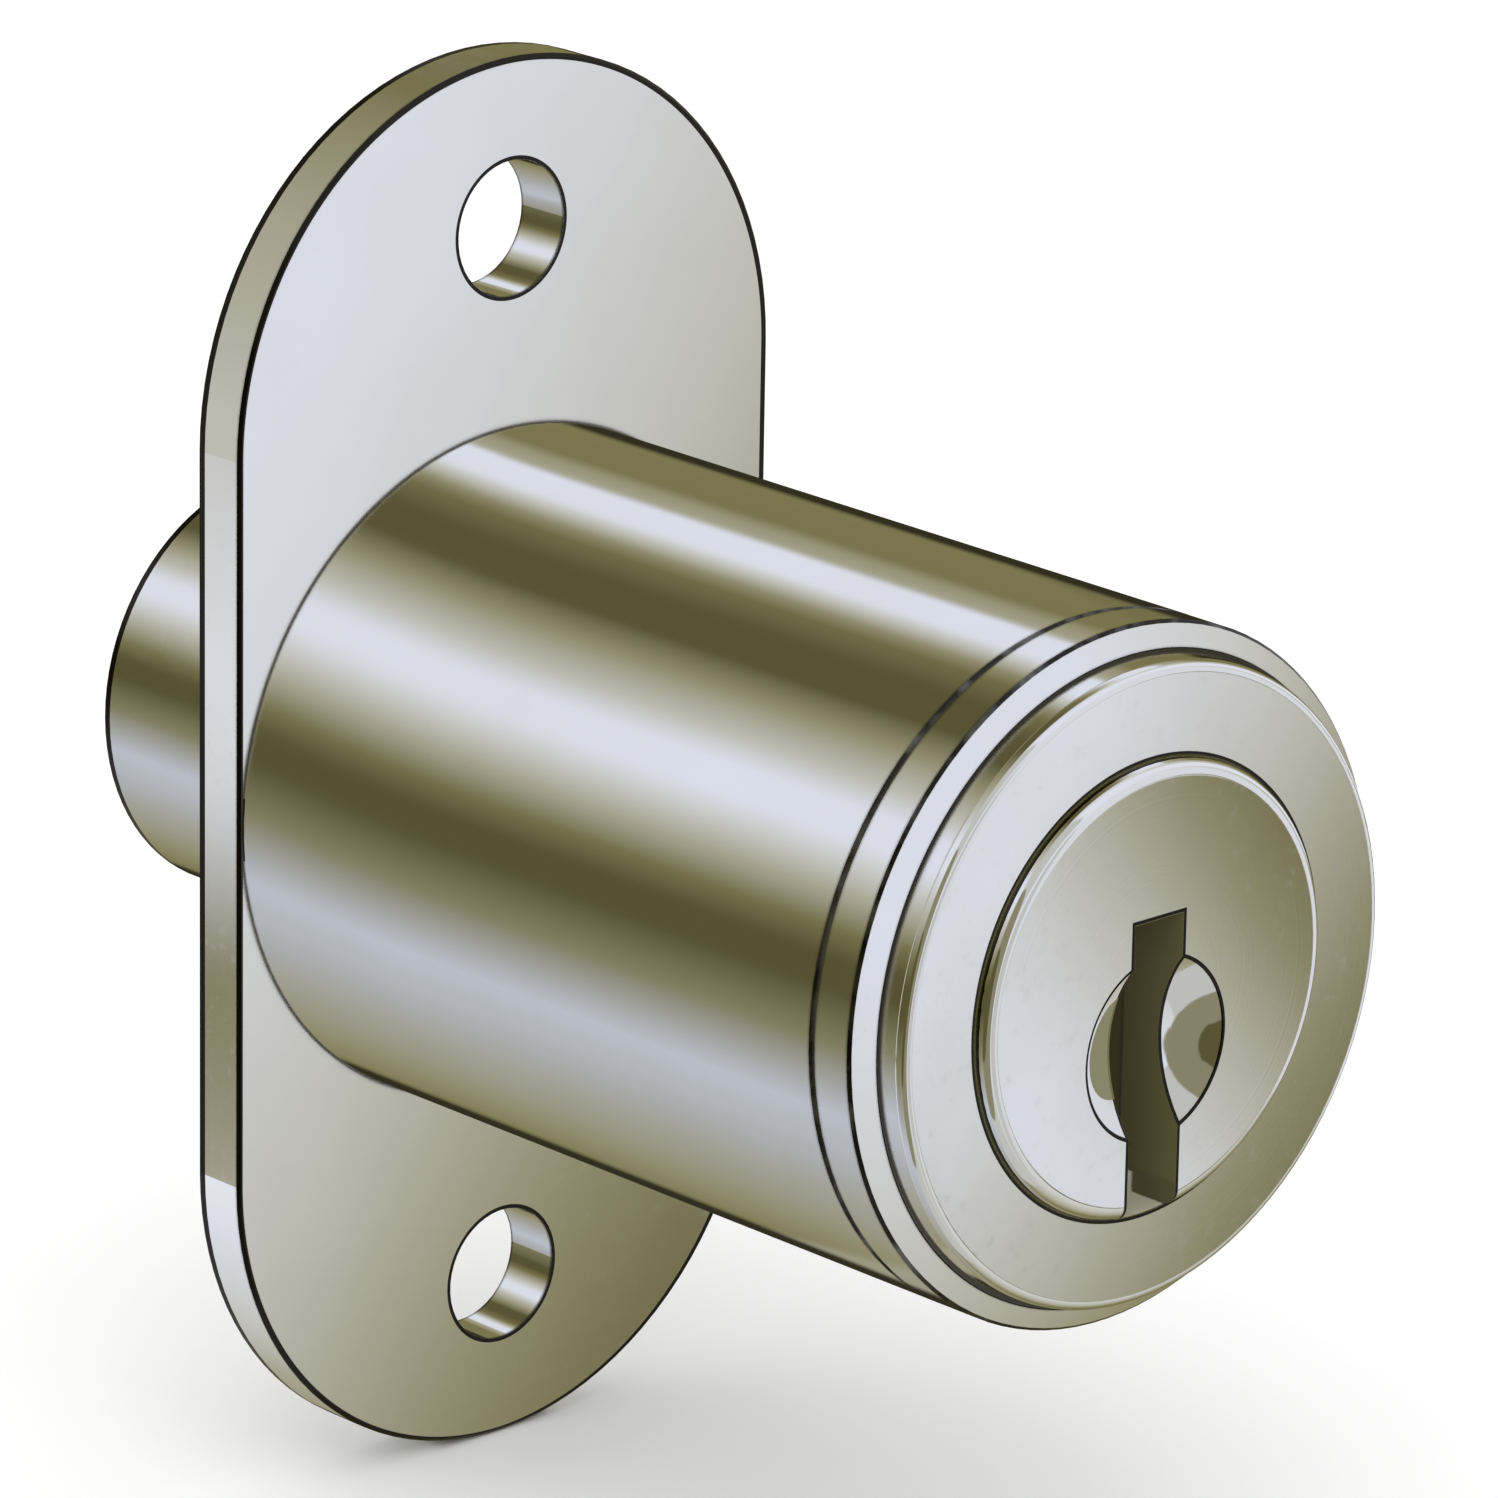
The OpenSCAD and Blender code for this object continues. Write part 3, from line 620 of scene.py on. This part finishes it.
def metal(name, colour, second, shine, cloudy=0.05, pitch=0.12, depth=0.25, wave=0.6, stretch=(1, 1, 1),
          cones=1.0, rings=(), grease=SHADE_AND_GREASE_DARK, reach=0.35, cloud_size=6.0, extra_height=None,
          extra_grease=None, extra_edge=None, disc=None):
    """One metal. Lengths are in mm, groove depth and wave height in thousandths of one.

    A ring is (height, inner radius, outer radius) and a disc is (radius, front, rounding). The grease
    colour, or a function that gives one, also colours the painted shade in crevices. The extra ones are
    functions that give a height or a mask.
    """
    made = bpy.data.materials.new(name)
    made.use_nodes = True
    tree = made.node_tree
    shader = tree.nodes["Principled BSDF"]
    place = add(tree, "TexCoord").outputs["Object"]
    marks = place_group(tree, polish, Place=place, Cloud_size=cloud_size * MM, Wave_height=wave * MICRON,
                        Stretch=stretch)
    grooves = place_group(tree, turned_grooves, Place=place, Pitch=pitch * MM, Depth=depth * MICRON)
    wear = place_group(tree, edge_wear, Place=place, Width=EDGE_WIDTH, Cones=cones)["Edge"]
    # ring lines join the worn edges; where they lie at the gaps between pieces they are painted shade, with
    # grease
    for rise, inner, outer in rings:
        ring = place_group(tree, ring_line, Place=place, Height=rise * MM, Inner=inner * MM,
                           Outer=outer * MM)
        wear = larger(tree, wear, ring["Line"])
    if extra_edge is not None:
        wear = larger(tree, wear, extra_edge(tree, place))
    # painted shade in crevices, with grease: where little of the room is seen within the reach, the colour
    # goes dark and the metal dull
    grease_and_painted_light = place_group(tree, crevice_shade_and_grease, Reach=reach * MM)["Grease"]
    if extra_grease is not None:
        grease_and_painted_light = larger(tree, grease_and_painted_light, extra_grease(tree, place))
    shade = blend(tree, marks["Clouds"], colour, second)
    # worn edges, and ring lines that are painted shade of the gaps
    shade = blend(tree, wear, shade, WORN_EDGE_AND_GAP_SHADE)
    shade = blend(tree, grease_and_painted_light, shade, grease(tree, place) if callable(grease) else grease)
    plug(tree, shade, shader.inputs["Base Color"])
    plug(tree, calc(tree, "SUBTRACT", 1.0, grease_and_painted_light), shader.inputs["Metallic"])
    unbuffed = calc(tree, "GREATER_THAN", face_lean(tree), BACKWARDS)
    rough = shine
    for mask, rougher in ((marks["Clouds"], cloudy), (marks["Hairlines"], cloudy), (wear, WORN),
                          (grease_and_painted_light, GREASY), (unbuffed, UNBUFFED)):
        rough = calc(tree, "MULTIPLY_ADD", mask, rougher, rough)
    plug(tree, rough, shader.inputs["Roughness"])
    relief = calc(tree, "ADD", marks["Height"], grooves["Height"])
    if extra_height is not None:
        relief = calc(tree, "ADD", relief, extra_height(tree, place))
    bump = add(tree, "Bump")
    bump.inputs["Distance"].default_value = 1.0
    plug(tree, relief, bump.inputs["Height"])
    if disc is not None:
        disc_r, front, rounding = (length * MM for length in disc)
        edge = place_group(tree, turned_disc, Place=place, Radius=disc_r, Front=front, Rounding=rounding)
        plug(tree, edge["Normal"], bump.inputs["Normal"])
    plug(tree, bump.outputs[0], shader.inputs["Normal"])
    return made


print("worn edges", EDGE_WIDTH / MM, "mm wide")

# %% [markdown]
# A finish goes into every material slot of its piece. The plated pieces share two tones of nickel and most
# of their polish, and each adds its own marks.


# %% Dressing a piece
def dress(piece, finish):
    """Gives a CAD piece one finish in all its slots."""
    slots = parts[piece].data.materials
    if not slots:
        slots.append(finish)
    for slot in range(len(slots)):
        slots[slot] = finish
    print(piece, "in", finish.name)


NICKEL, NICKEL_WARM = (0.87, 0.865, 0.85, 1), (0.85, 0.84, 0.81, 1)


def nickel(piece, name, shine=0.045, cloudy=0.02, depth=0.1, wave=0.2, **own):
    """Dresses a piece in nickel plate of its own."""
    dress(piece, metal(name, NICKEL, NICKEL_WARM, shine, cloudy=cloudy, depth=depth, wave=wave, **own))


# %% [markdown]
# In the picture no piece of the lock is mirrored in another: each shows the room alone. So the pieces are
# left out of one another's reflections.

# %% No mirror images of the pieces
for piece in parts.values():
    piece.visible_glossy = False
print("pieces out of the reflections:", len(parts))

# %% [markdown]
# The housing is a die casting: flange and barrel are one piece. It is buffed along its length and plated,
# so its grooves are very shallow and its waves a little stronger than on a turned piece. A casting needs
# draft to leave its mould, so the flange's edge leans by a few degrees. The solid's edge is straight, so
# the lean is a bump: a height that grows from the flange's front to its back. The screw holes are drilled,
# and stay straight. Along the flange's edges the plate is worn through, a little further on the right.

# %% Housing
FLANGE_R, FLANGE_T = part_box("housing")[1][:2]
# the flange's true height: the facets of its round ends stop a little short of it
FLANGE_H = 46 * MM
FLANGE_MIDDLE = FLANGE_H / 2 - FLANGE_R
# the lean of six degrees as a slope, and the leans along Y of the faces that have it
DRAFT, WALLS = 0.105, 0.5
# the screw holes lie nearer to the middle than this, to the side and up
HOLES_SIDE, HOLES_UP = 3.0 * MM, 20.5 * MM
# the worn line's width on the face, its growth to the right, and how far it goes down the side in front
# and at the back
LINE_WIDTH, LINE_GROWTH, LINE_FRONT, LINE_BACK = 0.17 * MM, 0.012, 0.11 * MM, 0.36 * MM


def draft(tree, place):
    """Height that leans the flange's edge, but not its back and the walls of the screw holes."""
    side, depth, rise = split(tree, place)
    on_walls = calc(tree, "LESS_THAN", calc(tree, "ABSOLUTE", face_lean(tree)), WALLS)
    slope = times(tree, larger(tree, times(tree, depth, on_walls), 0.0), DRAFT)
    off_centre = calc(tree, "GREATER_THAN", calc(tree, "ABSOLUTE", side), HOLES_SIDE)
    near_end = calc(tree, "GREATER_THAN", calc(tree, "ABSOLUTE", rise), HOLES_UP)
    return times(tree, slope, larger(tree, off_centre, near_end))


def outline(tree, place):
    """A mask that is 1 on the worn edges around the flange's front and back."""
    side, depth, rise = split(tree, place)
    past_middle = larger(tree, calc(tree, "SUBTRACT", calc(tree, "ABSOLUTE", rise), FLANGE_MIDDLE), 0.0)
    inner = calc(tree, "MULTIPLY_ADD", larger(tree, side, 0.0), -LINE_GROWTH, FLANGE_R - LINE_WIDTH)
    at_rim = calc(tree, "GREATER_THAN", squares(tree, side, past_middle), times(tree, inner, inner))
    at_front = calc(tree, "LESS_THAN", calc(tree, "ABSOLUTE", depth), LINE_FRONT)
    at_back = calc(tree, "GREATER_THAN", depth, FLANGE_T - LINE_BACK)
    return times(tree, at_rim, larger(tree, at_front, at_back))


SCREW_RISE, SCREW_RING = 17.5, (2.205, 2.33)
nickel("housing", "nickel_cast", pitch=0.3, depth=0.05, wave=0.3, extra_height=draft, extra_edge=outline,
       rings=[(rise, *SCREW_RING) for rise in (SCREW_RISE, -SCREW_RISE)])

# %% [markdown]
# The collar, the plunger, the bolt and the core are turned from bar and plated, so the grooves of the tool
# show. The plunger's bore, in which the core turns, was filled with pale grease when the lock was put
# together, and some of it shows at the key slot's open foot. The bolt's end is worn round its rim, where it
# rubs in the strike.

# %% Turned nickel pieces
PLUNGER_R, PLUNGER_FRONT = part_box("plunger")[1][0] / MM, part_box("plunger")[0][1] / MM
PLUNGER_ROUNDING, COLLAR_LINE, BORE_RING = 0.35, 0.19, (7.0, 7.29)
BORE_R, BORE_MOUTH, PALE_GREASE = 7.25 * MM, -28.7 * MM, (0.55, 0.52, 0.42, 1)
BOLT_END, BOLT_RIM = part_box("bolt")[1][1], 0.65 * MM


def in_bore(tree, place):
    """A mask that is 1 in the plunger's bore, behind its broken edge."""
    side, depth, rise = split(tree, place)
    return times(tree, calc(tree, "LESS_THAN", squares(tree, side, rise), BORE_R ** 2),
                 calc(tree, "GREATER_THAN", depth, BORE_MOUTH))


def bore_grease_and_crevice_shade(tree, place):
    """Pale grease in the bore; elsewhere the dark of the painted crevice shade, with grease."""
    return blend(tree, in_bore(tree, place), SHADE_AND_GREASE_DARK, PALE_GREASE)


def end_rim(tree, place):
    """A mask that is 1 on the rim of the bolt's end, but not on the end itself."""
    on_rim = calc(tree, "GREATER_THAN", split(tree, place)["Y"], BOLT_END - BOLT_RIM)
    return times(tree, on_rim, calc(tree, "LESS_THAN", face_lean(tree), BACKWARDS))


# the collar's ring and the plunger's bore ring lie at the gaps between the pieces: painted shade, with
# grease
nickel("front_collar", "nickel_collar", pitch=0.1, rings=[(0, PLUNGER_R, PLUNGER_R + COLLAR_LINE)])
nickel("plunger", "nickel_plunger", pitch=0.12, cones=0.0, rings=[(0, *BORE_RING)], grease=bore_grease_and_crevice_shade,
       extra_grease=in_bore, disc=(PLUNGER_R, PLUNGER_FRONT, PLUNGER_ROUNDING))
nickel("bolt", "nickel_bolt", shine=0.06, cloudy=0.03, pitch=0.15, cones=0.0, extra_edge=end_rim)

# %% [markdown]
# The core's face isn't quite flat: the wheel that polished it left it hollow by a tenth of a millimetre
# from top to bottom. That turns its reflection upside down, so it is pale where the plunger around it is
# dark. In the finger dimple the right wall is a little steeper than a sphere, and the left one is rubbed
# until it mirrors like a flat face. An olive spot is painted on that left part: a painted reflection. The
# walls of the key slot are painted brown: painted shade of the deep slot, with old grease.

# %% Core
CORE_R, CORE_FRONT, CORE_ROUNDING = 7.15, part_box("core")[0][1] / MM, 0.5
# the core's outer ring lies at its gap to the plunger: painted shade, with grease
CORE_RING, DIMPLE_RING = (7.11, 7.2), (2.83, 2.95)
# how strongly the trough bends from top to bottom, and the other way from side to side
TROUGH_BEND, TROUGH_SIDE_BEND = 1.74, 0.32
DIMPLE_R, DIMPLE_RISE, DIMPLE_SPHERE = 2.88 * MM, -1.77 * MM, 4.475 * MM
# the right wall's extra slope to the right, and its extra bend up and down
DIMPLE_STEEPER, DIMPLE_BEND = 0.22, 17.0


def hollow(tree, place):
    """Height of the trough and, in the dimple, of what makes its walls steeper or flatter than a sphere."""
    side, _, rise = split(tree, place)
    trough = calc(tree, "SUBTRACT", times(tree, times(tree, rise, rise), TROUGH_BEND),
                  times(tree, times(tree, side, side), TROUGH_SIDE_BEND))
    from_middle = calc(tree, "SUBTRACT", rise, DIMPLE_RISE)
    far = squares(tree, side, from_middle)
    steeper = times(tree, larger(tree, side, 0.0), DIMPLE_STEEPER)
    wall = calc(tree, "MULTIPLY_ADD", times(tree, from_middle, from_middle), DIMPLE_BEND, steeper)
    rubbed_flat = calc(tree, "DIVIDE", far, -2.0 * DIMPLE_SPHERE)
    on_left = calc(tree, "LESS_THAN", side, 0.0)
    wall = calc(tree, "MULTIPLY_ADD", calc(tree, "SUBTRACT", rubbed_flat, wall), on_left, wall)
    in_dimple = calc(tree, "LESS_THAN", far, DIMPLE_R ** 2)
    return calc(tree, "MULTIPLY_ADD", calc(tree, "SUBTRACT", wall, trough), in_dimple, trough)


SLOT_HALF, SLOT_TOP, SLOT_FOOT, SLOT_LINE = 1.035 * MM, 2.32 * MM, -6.35 * MM, 0.11 * MM
# below the slot's foot only a share of the painted shade and grease is laid
FOOT_SOFT, FOOT_SHADE_AND_GREASE = 0.1 * MM, 0.7
# the slot's brown is painted shade of the deep slot, with grease
SLOT_SHADE_AND_GREASE = (0.108, 0.094, 0.031, 1)


def slot_walls(half_width):
    """A mask for what lies between the key slot's walls."""
    def mask(tree, place):
        side, _, rise = split(tree, place)
        walls = times(tree, calc(tree, "LESS_THAN", calc(tree, "ABSOLUTE", side), half_width),
                      calc(tree, "LESS_THAN", rise, SLOT_TOP))
        return times(tree, walls, remap(tree, rise, SLOT_FOOT, SLOT_FOOT + FOOT_SOFT, FOOT_SHADE_AND_GREASE, 1.0))
    return mask


def slot_line(tree, place):
    """A mask that is 1 on the worn edge beside the key slot."""
    side, _, rise = split(tree, place)
    beside = calc(tree, "LESS_THAN", calc(tree, "ABSOLUTE", side), SLOT_HALF + SLOT_LINE)
    return times(tree, beside, calc(tree, "LESS_THAN", rise, SLOT_TOP + SLOT_LINE))


# an olive spot painted into the left part of the dimple: a painted reflection
REFLECTION_SPOT_SIDE, REFLECTION_SPOT_RISE, REFLECTION_SPOT_R, REFLECTION_SPOT_SHARE = -0.9 * MM, -1.7 * MM, 1.62 * MM, 0.9
REFLECTION_SPOT_OLIVE = (0.15, 0.146, 0.036, 1)


def painted_slot_and_spot(tree, place):
    """A mask for the key slot's walls, painted shade with grease, and for the olive spot in the left part
    of the dimple, a painted reflection.
    """
    side, _, rise = split(tree, place)
    far = squares(tree, calc(tree, "SUBTRACT", side, REFLECTION_SPOT_SIDE), calc(tree, "SUBTRACT", rise, REFLECTION_SPOT_RISE))
    spot = times(tree, calc(tree, "LESS_THAN", far, REFLECTION_SPOT_R ** 2), calc(tree, "LESS_THAN", side, 0.0))
    return larger(tree, times(tree, spot, REFLECTION_SPOT_SHARE), slot_walls(SLOT_HALF)(tree, place))


def core_slot_and_spot_colours(tree, place):
    """Brown in the key slot, painted shade with grease; olive elsewhere, for the painted reflection spot
    and the painted shade in crevices.
    """
    return blend(tree, slot_walls(SLOT_HALF)(tree, place), REFLECTION_SPOT_OLIVE, SLOT_SHADE_AND_GREASE)


nickel("core", "nickel_core", pitch=0.1, reach=0.2, cones=0.0, disc=(CORE_R, CORE_FRONT, CORE_ROUNDING),
       rings=[(0, *CORE_RING), (DIMPLE_RISE / MM, *DIMPLE_RING)], grease=core_slot_and_spot_colours, extra_height=hollow,
       extra_grease=painted_slot_and_spot, extra_edge=slot_line)

# %% [markdown]
# The pieces inside are bare steel, spring wire and brass. They show when the lock is cut open or taken
# apart.

# %% Steel, spring wire and brass
STEEL, STEEL_DARK = (0.62, 0.62, 0.61, 1), (0.55, 0.55, 0.56, 1)
WIRE, WIRE_DARK = (0.4, 0.4, 0.41, 1), (0.32, 0.32, 0.35, 1)
BRASS, BRASS_DARK = (0.80, 0.62, 0.30, 1), (0.70, 0.52, 0.24, 1)
for piece in ("guide_pin", "bolt_pin", "core_driver", "driver_screw", "catch"):
    dress(piece, metal("steel_" + piece, STEEL, STEEL_DARK, shine=0.22, pitch=0.2, depth=0.5))
for piece in ("lock_washer", "return_spring", "catch_spring", "wafer_springs"):
    dress(piece, metal("wire_" + piece, WIRE, WIRE_DARK, shine=0.3, cloud_size=1.5, depth=0.3))
# stamped grain runs up and down, and no two wafers have clouds of one size
WAFERS, GRAIN, WAFER_CLOUD, CLOUD_STEP = 6, (1, 1, 0.1), 1.0, 0.2
# the wafers' windows for the key are wider than the slot
in_window = slot_walls(1.5 * SLOT_HALF)
# in their windows the wafers take the slot's brown: painted shade of the slot, with grease
for count in range(1, WAFERS + 1):
    brass = metal(f"brass_{count}", BRASS, BRASS_DARK, shine=0.25, stretch=GRAIN, grease=SLOT_SHADE_AND_GREASE,
                  cloud_size=WAFER_CLOUD + CLOUD_STEP * count, extra_grease=in_window)
    dress(f"wafer_{count}", brass)
